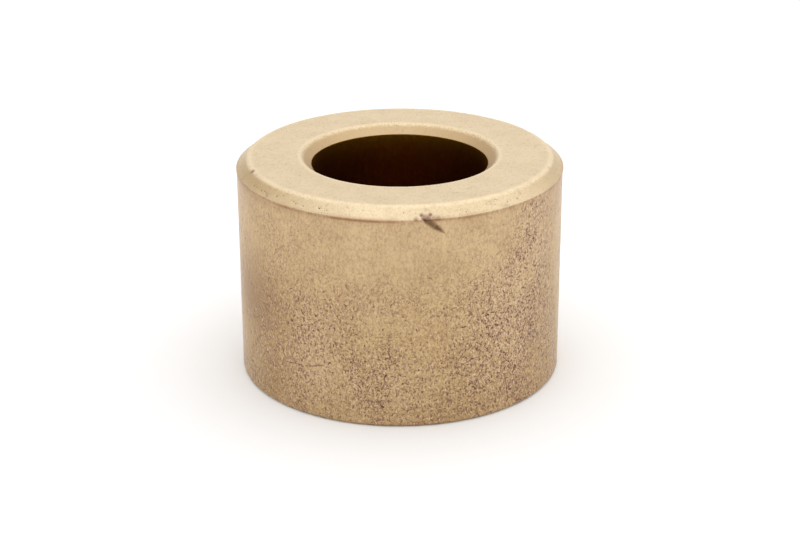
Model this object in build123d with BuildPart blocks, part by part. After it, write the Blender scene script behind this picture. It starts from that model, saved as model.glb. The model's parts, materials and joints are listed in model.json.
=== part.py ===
from build123d import *
import os

# Plain bronze sleeve bushing, pressed and sintered from bronze powder in one piece.
# It stands on its plain end, with the bore upright along +Z.
# Origin: centre of the plain end's face, on the bore's axis. Millimetres throughout.

MM_PER_INCH = 25.4

# Driving dimensions: the fits and the length of an inch-size clutch pilot bushing.
outer_diameter = 1.094 * MM_PER_INCH
bore_diameter = 0.594 * MM_PER_INCH
sleeve_length = 0.750 * MM_PER_INCH

# Lead-in chamfer round the outside of the top end, which starts the sleeve into its housing.
lead_in_width = 1.0
lead_in_height = 0.9

# Mouth chamfers that guide the shaft into the bore: a generous one above, a small one below.
mouth_width = 0.9
mouth_height = 0.75
lower_mouth_width = 0.45
lower_mouth_height = 0.4

# The plain end only has its sharp outer corner broken.
corner_break = 0.2

# The press tools leave the rims of the top face softly rounded.
rim_round = 0.3

outer_radius = outer_diameter / 2
bore_radius = bore_diameter / 2

with BuildPart() as bushing_sleeve:
    # Half of the wall's section, on the side of +X, turned once about the bore's axis.
    with BuildSketch(Plane.XZ) as wall_section:
        with BuildLine() as wall_outline:
            Polyline(
                (bore_radius + lower_mouth_width, 0),
                (outer_radius - corner_break, 0),
                (outer_radius, corner_break),
                (outer_radius, sleeve_length - lead_in_height),
                (outer_radius - lead_in_width, sleeve_length),
                (bore_radius + mouth_width, sleeve_length),
                (bore_radius, sleeve_length - mouth_height),
                (bore_radius, lower_mouth_height),
                close=True,
            )
        make_face()
        top_rim_corners = wall_section.vertices().group_by(Axis.Z)[-1]
        fillet(top_rim_corners, radius=rim_round)
    revolve(axis=Axis.Z)

bushing_sleeve.part.label = "bushing_sleeve"

os.makedirs("parts", exist_ok=True)
export_step(bushing_sleeve.part, "parts/bushing_sleeve.step")

wall_span = sleeve_length - lead_in_height - corner_break
bore_span = sleeve_length - mouth_height - lower_mouth_height
print(f"outer wall: radius {outer_radius:.4f}, length {wall_span:.3f}")
print(f"bore wall: radius {bore_radius:.4f}, length {bore_span:.3f}")
print(f"volume: {bushing_sleeve.part.volume / 1000:.4f} cubic centimetres")
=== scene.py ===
"""The looks of a sintered bronze sleeve bushing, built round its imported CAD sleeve.

The sleeve is one piece. Its skin is laid out flat, as a chart of arc length round the sleeve
by path length along the wall's section. Rows of points hold the corners, real pits stand for
the open pores, and the chart is triangulated and rolled back up into one closed mesh.
"""

import itertools
import json
import logging
import math
from dataclasses import dataclass, field
from enum import Enum

import bpy
import numpy as np
from mathutils import Matrix, Vector, noise
from mathutils.geometry import delaunay_2d_cdt
from mathutils.kdtree import KDTree


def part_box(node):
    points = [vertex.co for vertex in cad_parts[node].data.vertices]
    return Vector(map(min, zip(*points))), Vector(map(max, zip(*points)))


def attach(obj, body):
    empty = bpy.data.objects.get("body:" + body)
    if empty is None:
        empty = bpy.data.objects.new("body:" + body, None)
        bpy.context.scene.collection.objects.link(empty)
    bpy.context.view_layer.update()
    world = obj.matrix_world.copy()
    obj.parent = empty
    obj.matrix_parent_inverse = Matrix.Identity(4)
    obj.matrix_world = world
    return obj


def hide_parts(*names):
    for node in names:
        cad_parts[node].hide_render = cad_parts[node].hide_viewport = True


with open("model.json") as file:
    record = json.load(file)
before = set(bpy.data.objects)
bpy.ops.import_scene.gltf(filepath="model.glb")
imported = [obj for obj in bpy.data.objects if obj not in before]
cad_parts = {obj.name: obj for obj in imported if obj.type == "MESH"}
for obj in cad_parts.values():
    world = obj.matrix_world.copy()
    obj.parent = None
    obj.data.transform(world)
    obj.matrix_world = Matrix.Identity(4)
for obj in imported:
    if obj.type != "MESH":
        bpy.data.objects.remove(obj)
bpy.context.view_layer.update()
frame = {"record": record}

LOG = logging.getLogger("sleeve_bushing")
NODE = "bushing_sleeve"
MM = 0.001
TAU = 2 * math.pi
ROW_PITCH = 0.866

Colour = tuple[float, float, float]
Socket = bpy.types.NodeSocket


class Zone(Enum):
    """The runs of the wall's section, in the order in which the section is walked."""

    PLAIN_END = 0
    CORNER_BREAK = 1
    WALL = 2
    LEAD_IN = 3
    TOP_FACE = 4
    MOUTH = 5
    BORE = 6
    LOWER_MOUTH = 7


class Skin(Enum):
    """The finishes on the sleeve, by the tool that left them."""

    DIE_WALL = 0
    PUNCH_FACE = 1
    CORE_BORE = 2


SKIN_OF_ZONE = {
    Zone.PLAIN_END: Skin.PUNCH_FACE,
    Zone.CORNER_BREAK: Skin.DIE_WALL,
    Zone.WALL: Skin.DIE_WALL,
    Zone.LEAD_IN: Skin.PUNCH_FACE,
    Zone.TOP_FACE: Skin.PUNCH_FACE,
    Zone.MOUTH: Skin.PUNCH_FACE,
    Zone.BORE: Skin.CORE_BORE,
    Zone.LOWER_MOUTH: Skin.PUNCH_FACE,
}


def smoothstep(value: np.ndarray, low: float, high: float) -> np.ndarray:
    """A smooth ramp from 0 at low to 1 at high."""
    share = np.clip((value - low) / (high - low), 0.0, 1.0)
    return share * share * (3.0 - 2.0 * share)


def ring_noise(turn: np.ndarray, reach: float, level: float) -> np.ndarray:
    """Noise read along a circle, so that it closes on itself.

    Args:
        turn: Angles round the circle.
        reach: The circle's radius in the noise: the wider, the finer the noise.
        level: Height of the circle in the noise.

    Returns:
        One value for each angle, about 0.
    """
    return np.array([
        noise.noise(Vector((math.cos(t) * reach, math.sin(t) * reach, level))) for t in turn
    ])


def mount(name: str) -> dict:
    """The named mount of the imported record."""
    return next(m for m in frame["record"]["mounts"] if m["name"] == name)


@dataclass
class Section:
    """The wall's section, walked once round from the middle of the plain end. Millimetres.

    The main sizes come from the frame: its box and its two round mounts.
    """

    lead_in_width: float = 1.0
    mouth_width: float = 0.9
    lower_mouth_width: float = 0.45
    corner_steps: int = 12
    roundings: dict[Zone, float] = field(default_factory=lambda: {
        Zone.PLAIN_END: 0.05,
        Zone.CORNER_BREAK: 0.08,
        Zone.WALL: 0.05,
        Zone.LEAD_IN: 0.26,
        Zone.TOP_FACE: 0.32,
        Zone.MOUTH: 0.07,
        Zone.BORE: 0.07,
        Zone.LOWER_MOUTH: 0.15,
    })
    outer_radius: float = field(init=False)
    length: float = field(init=False)
    bore_radius: float = field(init=False)

    def __post_init__(self) -> None:
        """Reads the sizes from the frame and lays out the path."""
        low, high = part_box(NODE)
        bore, wall = mount("bore"), mount("outer_wall")
        self.outer_radius = (high.x - low.x) / 2 / MM
        self.length = (high.z - low.z) / MM
        self.bore_radius = bore["dims"]["r_mm"]
        bore_middle, bore_half = bore["pos_m"][2] / MM, bore["dims"]["length_mm"] / 2
        wall_middle, wall_half = wall["pos_m"][2] / MM, wall["dims"]["length_mm"] / 2
        self.corner_break = wall_middle - wall_half
        self.wall_top = wall_middle + wall_half
        self.bore_foot = bore_middle - bore_half
        self.bore_top = bore_middle + bore_half
        self._lay_out()

    def _corners(self) -> list[np.ndarray]:
        """The section's corners as radius and height, each ending one zone's run."""
        outer, bore = self.outer_radius, self.bore_radius
        corners = (
            (outer - self.corner_break, 0.0),
            (outer, self.corner_break),
            (outer, self.wall_top),
            (outer - self.lead_in_width, self.length),
            (bore + self.mouth_width, self.length),
            (bore, self.bore_top),
            (bore, self.bore_foot),
            (bore + self.lower_mouth_width, 0.0),
        )
        return [np.array(corner) for corner in corners]

    def _lay_out(self) -> None:
        """Turns the corners into a dense path with its path length, radius, height and normal."""
        corners = self._corners()
        roundings = [self.roundings[zone] for zone in Zone]
        start = (corners[-1] + corners[0]) / 2
        stops = [start, *corners, start]
        points, angles, marks = [start], [-math.pi / 2], []
        for before, corner, after, rounding in zip(stops, corners, stops[2:], roundings):
            come = (corner - before) / np.linalg.norm(corner - before)
            leave = (after - corner) / np.linalg.norm(after - corner)
            turn = math.atan2(come[0] * leave[1] - come[1] * leave[0], come @ leave)
            tangent = rounding * math.tan(turn / 2)
            normal = math.atan2(-come[0], come[1])
            centre = corner - come * tangent + rounding * np.array([come[1] * -1, come[0]])
            first = len(points)
            for step in range(self.corner_steps + 1):
                angle = normal + turn * step / self.corner_steps
                points.append(centre + rounding * np.array([math.cos(angle), math.sin(angle)]))
                angles.append(angle)
            marks.append((first, first + self.corner_steps))
        points.append(start)
        angles.append(angles[-1])
        path = np.array(points)
        steps = np.linalg.norm(np.diff(path, axis=0), axis=1)
        self.along = np.concatenate([[0.0], np.cumsum(steps)])
        self.radii, self.heights = path[:, 0], path[:, 1]
        self.normals = np.unwrap(np.array(angles))
        self.arcs = [(self.along[a], self.along[b]) for a, b in marks]
        self.total = float(self.along[-1])
        self.round = TAU * self.outer_radius

    def radius(self, s: np.ndarray) -> np.ndarray:
        """The radius at path lengths s."""
        return np.interp(np.mod(s, self.total), self.along, self.radii)

    def height(self, s: np.ndarray) -> np.ndarray:
        """The height at path lengths s."""
        return np.interp(np.mod(s, self.total), self.along, self.heights)

    def span(self, zone: Zone) -> tuple[float, float]:
        """The straight run of a zone, as its first and last path length."""
        if zone is Zone.PLAIN_END:
            return self.arcs[-1][1], self.total + self.arcs[0][0]
        return self.arcs[zone.value - 1][1], self.arcs[zone.value][0]

    def zone_limits(self) -> np.ndarray:
        """The path lengths at the middle of each corner, where one zone gives way to the next."""
        return np.array([(a + b) / 2 for a, b in self.arcs])

    def lip_edge(self) -> float:
        """The path length of the lip, at the foot of the lead-in."""
        return float(self.zone_limits()[Zone.WALL.value])

    def path_at_height(self, height: float) -> float:
        """The path length at a height on the outer wall."""
        return self.span(Zone.WALL)[0] + height - self.corner_break

    def place(self, x: np.ndarray, s: np.ndarray, lift: np.ndarray) -> np.ndarray:
        """Rolls chart points up.

        Args:
            x: Arc length round the outer wall, 0 at the back.
            s: Path length along the section.
            lift: Height above the plain surface.

        Returns:
            The points in millimetres, one row each.
        """
        s = np.mod(s, self.total)
        tilt = np.interp(s, self.along, self.normals)
        radius = np.interp(s, self.along, self.radii) + lift * np.cos(tilt)
        height = np.interp(s, self.along, self.heights) + lift * np.sin(tilt)
        turn = x / self.outer_radius + math.pi / 2
        return np.stack([radius * np.cos(turn), radius * np.sin(turn), height], axis=-1)

    def spot(self, x: float, s: float) -> np.ndarray:
        """The one plain point at a chart position, in millimetres."""
        return self.place(np.array([x]), np.array([s]), np.zeros(1))[0]

    def gap_round(self, x: np.ndarray, azimuth: float, half_width: float) -> np.ndarray:
        """How far round the sleeve points lie from an azimuth.

        Args:
            x: Arc lengths round the outer wall.
            azimuth: The azimuth in degrees.
            half_width: The angle in degrees that counts as 1.

        Returns:
            The gaps the short way round, in half widths.
        """
        gap = np.abs(x - self.x_at(azimuth))
        wide = math.radians(half_width) * self.outer_radius
        return np.minimum(gap, self.round - gap) / wide

    def x_at(self, azimuth: float) -> float:
        """The chart's x at an azimuth in degrees, 0 at the front (-Y) and growing towards +X."""
        return (math.radians(azimuth) + math.pi) * self.outer_radius


@dataclass(frozen=True)
class PitField:
    """Open pores scattered over one zone.

    Attributes:
        zone: Where they are.
        density: Pores in each square millimetre where they lie thickest.
        small: Smallest radius.
        large: Largest radius.
        worms: Share of them that are short crooked grooves.
        upright: How strongly the grooves stand along the sleeve, from 0 to 1.
    """

    zone: Zone
    density: float
    small: float
    large: float
    worms: float = 0.0
    upright: float = 0.0


@dataclass(frozen=True)
class Scratch:
    """A fine groove, given by azimuth in degrees and height in millimetres at both ends."""

    start: tuple[float, float]
    end: tuple[float, float]
    half_width: float
    depth: float


@dataclass(frozen=True)
class ChamferPore:
    """A pore on the lead-in, by azimuth in degrees and path length past the zone's start."""

    azimuth: float
    past: float
    radius: float


@dataclass(frozen=True)
class Dent:
    """A shallow bruise.

    Attributes:
        azimuth: Where it is, in degrees.
        zone: The zone that it is measured from.
        past: Path length past the start of that zone.
        size: Its radius.
        depth: Its depth.
        soil: How much darker it is, from 0 to 1.
    """

    azimuth: float
    zone: Zone
    past: float
    size: float
    depth: float
    soil: float = 0.0


@dataclass(frozen=True)
class Stain:
    """A soft patch on the wall, used for stains and painted shade, pale patches and coarse patches:
    azimuth, height, half width and half height.
    """

    azimuth: float
    height: float
    half_width: float
    half_height: float
    strength: float


@dataclass(frozen=True)
class WornPatch:
    """A patch of the wall where the die's burnish reaches lower (or higher, if negative)."""

    azimuth: float
    half_width: float
    reach: float


@dataclass(frozen=True)
class LipPatch:
    """A stretch of the lip where the painted shadow under it is stronger, or weaker if more is
    negative.
    """

    azimuth: float
    half_width: float
    more: float


@dataclass(frozen=True)
class Gouge:
    """The wedge knocked out of the lip.

    Attributes:
        head: Azimuth and height of its wide end.
        tip: Azimuth and height of its thin end.
        half_width: Half of its widest part.
        depth: Its greatest depth.
        lean: How far its bottom lies to one side of the middle.
        behind: How far it runs out behind the head, as a share of its length.
    """

    head: tuple[float, float] = (8.6, 17.95)
    tip: tuple[float, float] = (14.9, 16.8)
    half_width: float = 0.8
    depth: float = 0.16
    lean: float = 0.05
    behind: float = 0.3


@dataclass(frozen=True)
class FinePatch:
    """The close-set points round the gouge, measured from the lip.

    Attributes:
        azimuth: The patch's middle.
        half_width: Half its width.
        below: How far it reaches down the wall.
        above: How far it reaches up the lead-in.
        pitch: Distance between its points.
        jitter: How far each point may stray.
        room: Half width and half height of the room that other points leave free.
        drop: How far the middle of that room lies under the lip.
        column_azimuth: The middle of the stretch whose rows are closer set.
        column_half_width: Half the width of that stretch.
    """

    azimuth: float = 10.8
    half_width: float = 1.9
    below: float = 2.1
    above: float = 1.2
    pitch: float = 0.075
    jitter: float = 0.02
    room: tuple[float, float] = (1.95, 1.7)
    drop: float = 0.45
    column_azimuth: float = 10.5
    column_half_width: float = 2.2


@dataclass(frozen=True)
class Strip:
    """A run of zones on the texture sheet.

    Attributes:
        first: The first zone of the run.
        last: The last zone of the run.
        density: Sheet millimetres to one true millimetre.
        turned: Whether it stands upright in the side column, instead of lying in two halves.
    """

    first: Zone
    last: Zone
    density: float = 1.0
    turned: bool = False


@dataclass
class Pit:
    """One pit of the mesh: its rim and floor points on the chart, its depth and its darkness."""

    rim: np.ndarray
    floor: np.ndarray
    depth: float
    reach: float
    dark: float = 1.0


@dataclass
class Chart:
    """The points of the flat chart and what each one carries."""

    x: list[np.ndarray] = field(default_factory=list)
    s: list[np.ndarray] = field(default_factory=list)
    sink: list[np.ndarray] = field(default_factory=list)
    pore: list[np.ndarray] = field(default_factory=list)

    def add(self, x: np.ndarray, s: np.ndarray, sink: float = 0.0, pore: float = 0.0) -> None:
        """Adds points that lie sink below the surface and carry the pore value."""
        self.x.append(np.asarray(x, float))
        self.s.append(np.asarray(s, float))
        self.sink.append(np.full(len(self.x[-1]), sink))
        self.pore.append(np.full(len(self.x[-1]), pore))

    def joined(self) -> tuple[np.ndarray, np.ndarray, np.ndarray, np.ndarray]:
        """All the points so far, as x, s, sink and pore."""
        parts = (self.x, self.s, self.sink, self.pore)
        return tuple(np.concatenate(part) for part in parts)


@dataclass
class TarnishAndPaintedLight:
    """What wear and dirt did to each point of the surface, and the light and shade painted onto it,
    for the finishes to read.
    """

    section: Section
    # The front of the lead-in gets a painted highlight, centred at this azimuth; the rubbed corners
    # below also stand for painted highlight lines.
    highlight_azimuth: float = -10.0
    highlight_spread: float = 0.26
    rub_and_highlight_widths: dict[Zone, float] = field(default_factory=lambda: {
        Zone.LEAD_IN: 0.3,
        Zone.TOP_FACE: 0.32,
    })
    # The patches at -62 and -51 are a painted dark reflection down the wall's left side, and those at
    # -66 and 76 at 18.9 mm are painted shade on the lead-in's sides; the rest are tarnish stains.
    stains_and_painted_shade: tuple[Stain, ...] = (
        Stain(-62.0, 8.6, 21.0, 3.9, 0.95),
        Stain(-51.0, 3.0, 8.0, 5.0, 0.45),
        Stain(-66.0, 18.9, 30.0, 1.5, 0.95),
        Stain(76.0, 18.9, 26.0, 1.3, 0.6),
        Stain(19.0, 1.6, 13.0, 3.0, 0.28),
        Stain(52.0, 2.2, 14.0, 2.8, 0.2),
        Stain(126.0, 6.0, 22.0, 5.0, 0.45),
        Stain(-138.0, 9.5, 17.0, 4.0, 0.4),
        Stain(178.0, 3.5, 20.0, 3.6, 0.35),
    )
    pale_patches: tuple[Stain, ...] = (
        Stain(-30.0, 5.4, 11.0, 4.8, 0.85),
        Stain(-3.0, 3.2, 14.0, 3.6, 0.42),
        Stain(-15.0, 2.8, 7.0, 4.0, 0.4),
        Stain(-12.0, 10.6, 9.0, 3.4, 0.35),
        Stain(40.0, 7.6, 15.0, 6.0, 0.75),
        Stain(54.0, 14.0, 8.0, 5.0, 0.4),
        Stain(110.0, 13.0, 14.0, 4.0, 0.4),
    )
    coarse_patches: tuple[Stain, ...] = (
        Stain(40.0, 6.2, 17.0, 5.6, 0.6),
        Stain(51.0, 11.0, 8.0, 4.6, 0.3),
        Stain(-3.0, 4.0, 12.0, 3.4, 0.2),
        Stain(-150.0, 6.0, 25.0, 6.0, 0.35),
    )
    worn_patches: tuple[WornPatch, ...] = (
        WornPatch(3.0, 31.0, 0.16),
        WornPatch(50.0, 12.0, -0.34),
        WornPatch(-40.0, 12.0, -0.06),
        WornPatch(-75.0, 14.0, 0.75),
        WornPatch(82.0, 12.5, 0.75),
        WornPatch(150.0, 30.0, 0.15),
        WornPatch(-120.0, 25.0, -0.15),
    )
    worn_from: float = 0.46
    worn_to: float = 0.95
    worn_marks: float = 0.72
    bore_light_reach: float = 0.8
    lip_patches: tuple[LipPatch, ...] = (
        LipPatch(-10.0, 18.0, 0.4),
        LipPatch(-6.0, 4.5, 0.5),
        LipPatch(-18.0, 3.0, 0.12),
        LipPatch(-30.0, 7.0, -0.35),
        LipPatch(-46.0, 8.0, 0.05),
        LipPatch(27.0, 7.0, -0.18),
        LipPatch(36.0, 6.0, -0.1),
        LipPatch(55.0, 34.0, -0.3),
        LipPatch(140.0, 20.0, 0.3),
    )
    bruise_azimuth: float = 11.0
    bruise_half_width: float = 1.0
    bruise_half_height: float = 0.16

    def rub(self, x: np.ndarray, s: np.ndarray) -> np.ndarray:
        """How far handling has rubbed the corners bright, which also stands for painted highlight
        lines along them, and a painted highlight on the front of the lead-in.

        Args:
            x: Arc lengths round the outer wall.
            s: Path lengths along the section.

        Returns:
            One value for each point, from 0 to 1.
        """
        first, last = self.section.span(Zone.LEAD_IN)
        spread = self.highlight_spread * self.section.outer_radius
        gap = (x - self.section.x_at(self.highlight_azimuth)) / spread
        rub = 0.85 * np.exp(-(gap**2)) * (s > first) * (s < last)
        for zone, width in self.rub_and_highlight_widths.items():
            first, last = self.section.arcs[zone.value]
            gap = np.maximum(np.maximum(first - s, s - last), 0.0)
            rub = np.maximum(rub, np.exp(-((gap / width) ** 2)))
        return rub

    def patches(self, x: np.ndarray, s: np.ndarray, patches: tuple[Stain, ...]) -> np.ndarray:
        """How strongly soft patches lie on the wall.

        Args:
            x: Arc lengths round the outer wall.
            s: Path lengths along the section.
            patches: The patches.

        Returns:
            The strongest patch's value at each point, and 0 off the wall.
        """
        first, _ = self.section.span(Zone.WALL)
        on_wall = (s > first - 0.2) & (s < self.section.span(Zone.LEAD_IN)[1])
        total = np.zeros(len(x))
        for patch in patches:
            gap = self.section.gap_round(x, patch.azimuth, patch.half_width)
            rise = (s - self.section.path_at_height(patch.height)) / patch.half_height
            total = np.maximum(total, patch.strength * np.exp(-(gap**2 + rise**2)))
        return total * on_wall

    def _burnish(self, x: np.ndarray, s: np.ndarray) -> np.ndarray:
        """How far up the wall a point counts as being, when the worn patches are allowed for.

        Args:
            x: Arc lengths round the outer wall.
            s: Path lengths along the section.

        Returns:
            The share of the sleeve's length, with a slow drift added.
        """
        rise = self.section.height(s) / self.section.length
        for patch in self.worn_patches:
            gap = self.section.gap_round(x, patch.azimuth, patch.half_width)
            rise = rise + patch.reach * np.exp(-(gap**2))
        drift = [0.16 * noise.noise(Vector(p) * 0.22) for p in self.section.place(x, s, 0 * s)]
        return rise + np.array(drift)

    def wear(self, x: np.ndarray, s: np.ndarray) -> np.ndarray:
        """How far the marks are burnished away: most under the lead-in, least at the foot."""
        return smoothstep(self._burnish(x, s), self.worn_from, self.worn_to)

    def raw(self, x: np.ndarray, s: np.ndarray) -> np.ndarray:
        """How strong the marks between the grains are.

        Args:
            x: Arc lengths round the outer wall.
            s: Path lengths along the section.

        Returns:
            One value for each point: 1 on the faces that no die has wiped, less where the
            wall is worn, and more on its coarse patches.
        """
        coarse = self.patches(x, s, self.coarse_patches)
        on_wall = s < self.section.lip_edge()
        return np.where(on_wall, 1.0 - self.worn_marks * self.wear(x, s) + coarse, 1.0)

    def tone(self, x: np.ndarray, s: np.ndarray) -> np.ndarray:
        """Painted light that makes the wall lighter from the foot up to the lead-in, plus its pale
        patches.
        """
        rise = smoothstep(self.section.height(s) / self.section.length, 0.3, 1.0)
        return np.clip(rise + self.patches(x, s, self.pale_patches), 0.0, 1.0)

    def oil(self, x: np.ndarray, s: np.ndarray) -> np.ndarray:
        """How far the two mouths darken, most at their left and right sides, and painted light that
        makes the bore lighter towards its two ends.

        Args:
            x: Arc lengths round the outer wall.
            s: Path lengths along the section.

        Returns:
            One value for each point, from 0 to 1.
        """
        top = self.section.arcs[Zone.TOP_FACE.value]
        bore = self.section.span(Zone.BORE)
        foot = self.section.arcs[Zone.LOWER_MOUTH.value]
        side = np.sin(x / self.section.outer_radius - math.pi)
        mouth = smoothstep(s, top[0], top[1]) * (1.0 - smoothstep(s, foot[0], foot[1]))
        # On the mouths the value grows towards the left and right; in the bore it is painted light,
        # strongest at the ends and fading inwards.
        inside = (s > bore[0]) & (s < bore[1])
        deep = np.minimum(s - bore[0], bore[1] - s)
        outside = 0.66 + 0.29 * side**2 + 0.05 * side
        return mouth * np.where(inside, np.exp(-deep / self.bore_light_reach), outside)

    def lip_shade(self, x: np.ndarray, s: np.ndarray) -> np.ndarray:
        """Painted shadow in the hollow just below the lip's burr and painted shade on the foot of the
        lead-in, in uneven knots, with a darker spot by the gouge.

        Args:
            x: Arc lengths round the outer wall.
            s: Path lengths along the section.

        Returns:
            One value for each point, from 0 to 1.
        """
        below = self.section.lip_edge() - s
        # line and the band under it are painted shadow below the lip; foot is painted shade on the
        # foot of the lead-in.
        line = np.exp(-(((below - 0.12) / 0.09) ** 2))
        stain = 0.22 * np.exp(-(((below - 0.3) / 0.25) ** 2)) * (below > 0)
        foot = 0.38 * np.exp(-(((below + 0.05) / 0.15) ** 2))
        turn = x / self.section.outer_radius
        strength = 0.45 + 0.8 * ring_noise(turn, 4.4, 7.7) + 0.55 * ring_noise(turn, 15.0, 2.1)
        for patch in self.lip_patches:
            gap = turn - self.section.x_at(patch.azimuth) / self.section.outer_radius
            gap = gap / math.radians(patch.half_width)
            strength = strength + patch.more * np.exp(-(gap**2))
        strength = np.clip(strength, 0.12, 1.0)
        aside = (x - self.section.x_at(self.bruise_azimuth)) / self.bruise_half_width
        bruise = np.exp(-(aside**2) - (below / self.bruise_half_height) ** 2)
        shade = np.maximum(np.maximum(line, stain), foot) * strength
        return np.clip(shade + 0.8 * bruise, 0.0, 1.0)


@dataclass
class OpenPores:
    """The open pores and the scratches, as pits of the mesh."""

    section: Section
    tarnish_and_light: TarnishAndPaintedLight
    seed: int = 7
    cell: float = 0.5
    apart: float = 0.035
    row_clearance: float = 0.125
    scratch_dark: float = 0.5
    scratch_step: float = 0.16
    scratch_wander: float = 0.12
    fields: tuple[PitField, ...] = (
        PitField(Zone.WALL, 8.0, 0.045, 0.1, worms=0.2, upright=0.4),
        PitField(Zone.LEAD_IN, 2.6, 0.045, 0.075, worms=0.1),
        PitField(Zone.TOP_FACE, 2.0, 0.035, 0.06, worms=0.05),
        PitField(Zone.PLAIN_END, 1.4, 0.04, 0.07, worms=0.05),
    )
    scratches: tuple[Scratch, ...] = (
        Scratch((-41.8, 4.25), (-36.0, 4.4), 0.06, 0.03),
        Scratch((-34.4, 4.45), (-27.2, 4.85), 0.065, 0.03),
        Scratch((38.7, 3.3), (40.3, 0.9), 0.06, 0.035),
        Scratch((47.0, 6.9), (52.5, 7.4), 0.05, 0.03),
        Scratch((21.0, 5.2), (28.5, 5.6), 0.045, 0.02),
        Scratch((-12.0, 2.6), (-9.4, 4.1), 0.04, 0.02),
        Scratch((118.0, 9.0), (131.0, 10.2), 0.05, 0.03),
        Scratch((-150.0, 6.0), (-146.0, 9.5), 0.05, 0.03),
        Scratch((168.0, 12.5), (176.0, 12.9), 0.045, 0.025),
        Scratch((-104.0, 3.4), (-97.0, 3.9), 0.05, 0.03),
    )
    chamfer_pores: tuple[ChamferPore, ...] = (
        ChamferPore(-62.0, 0.4, 0.08),
        ChamferPore(-60.2, 0.42, 0.07),
        ChamferPore(-56.4, 0.38, 0.085),
        ChamferPore(-54.6, 0.46, 0.075),
        ChamferPore(-53.2, 0.37, 0.08),
        ChamferPore(-47.6, 0.5, 0.085),
        ChamferPore(-45.0, 0.72, 0.06),
        ChamferPore(-38.0, 0.4, 0.065),
        ChamferPore(-34.6, 0.38, 0.07),
        ChamferPore(-25.4, 0.42, 0.07),
        ChamferPore(21.0, 0.6, 0.06),
        ChamferPore(44.5, 0.44, 0.07),
    )
    chamfer_pore_dark: float = 0.85

    def _crowd(self, x: float, s: float, spread: PitField) -> float:
        """How thickly the pores lie at a chart point.

        Args:
            x: Arc length round the outer wall.
            s: Path length along the section.
            spread: The field that the pore would belong to.

        Returns:
            The share of the pores that stay there.
        """
        place = Vector(self.section.spot(x, s))
        drift = noise.noise(place * 0.16 + Vector((3.1, 8.7, 1.3)))
        clump = noise.noise(place * 0.55 + Vector((11.0, 2.0, 5.0)))
        crowd = 0.62 + 0.55 * drift + 0.5 * clump
        if spread.zone is Zone.WALL:
            crowd *= 1.05 - 0.85 * float(self.tarnish_and_light.wear(np.array([x]), np.array([s]))[0])
        return crowd

    def _round_rim(self, centre: np.ndarray, reach: float, count: int) -> np.ndarray:
        """Points on a circle round a centre."""
        turn = np.arange(count) * TAU / count
        return np.array([centre + reach * np.array([math.cos(t), math.sin(t)]) for t in turn])

    def _groove_rim(self, line: np.ndarray, reach: float) -> np.ndarray:
        """The outline at a distance round a crooked line, with three points on each end.

        Args:
            line: The line's points, in true millimetres on the surface.
            reach: Distance of the outline from the line.

        Returns:
            The outline's points.
        """
        ends = [line[0] - line[1], line[-1] - line[-2]]
        side = np.diff(line, axis=0)
        side = side / np.linalg.norm(side, axis=1)[:, None]
        left = np.stack([-side[:, 1], side[:, 0]], axis=1)
        middle = (left[:-1] + left[1:]) / 2
        outline = []
        for end, sign in ((1, 1.0), (0, -1.0)):
            heading = math.atan2(ends[end][1], ends[end][0])
            for step in (-60, 0, 60):
                angle = heading + math.radians(step)
                spot = line[-1 if end else 0]
                outline.append(spot + reach * np.array([math.cos(angle), math.sin(angle)]))
            inner = range(len(line) - 2, 0, -1) if end else range(1, len(line) - 1)
            outline.extend(line[i] + sign * reach * middle[i - 1] for i in inner)
        return np.array(outline)

    def _pit(
        self, x: float, s: float, reach: float, spread: PitField, rng: np.random.Generator
    ) -> Pit:
        """One pore: most are round, some are crooked grooves.

        Args:
            x: Arc length round the outer wall.
            s: Path length along the section.
            reach: Its radius.
            spread: The field that it belongs to.
            rng: The source of its random numbers.

        Returns:
            The pit.
        """
        squeeze = np.array([self.section.outer_radius / float(self.section.radius(np.array(s))), 1.0])
        if rng.random() < spread.worms:
            heading = rng.uniform(0, math.pi)
            heading += (math.pi / 2 - heading) * spread.upright
            joints = int(rng.integers(2, 4))
            turns = np.cumsum(rng.normal(0, 0.45, joints - 1))
            hops = np.stack([np.cos(heading + turns), np.sin(heading + turns)], axis=1)
            line = np.concatenate([[[0.0, 0.0]], np.cumsum(hops * reach * 1.9, axis=0)])
            line -= line.mean(axis=0)
            reach *= 0.8
            rim = self._groove_rim(line, reach) * squeeze
        else:
            line = np.zeros((1, 2))
            rim = self._round_rim(line[0], reach, 6 if reach < 0.065 else 8) * squeeze
        uneven = rng.uniform(0.82, 1.2, 16)
        centre = line.mean(axis=0) * squeeze
        rim = centre + (rim - centre) * uneven[: len(rim), None]
        shift = np.array([x, s])
        extent = float(np.linalg.norm(line, axis=1).max()) + reach
        return Pit(rim + shift, line * squeeze + shift, reach * rng.uniform(0.7, 1.3), extent)

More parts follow.
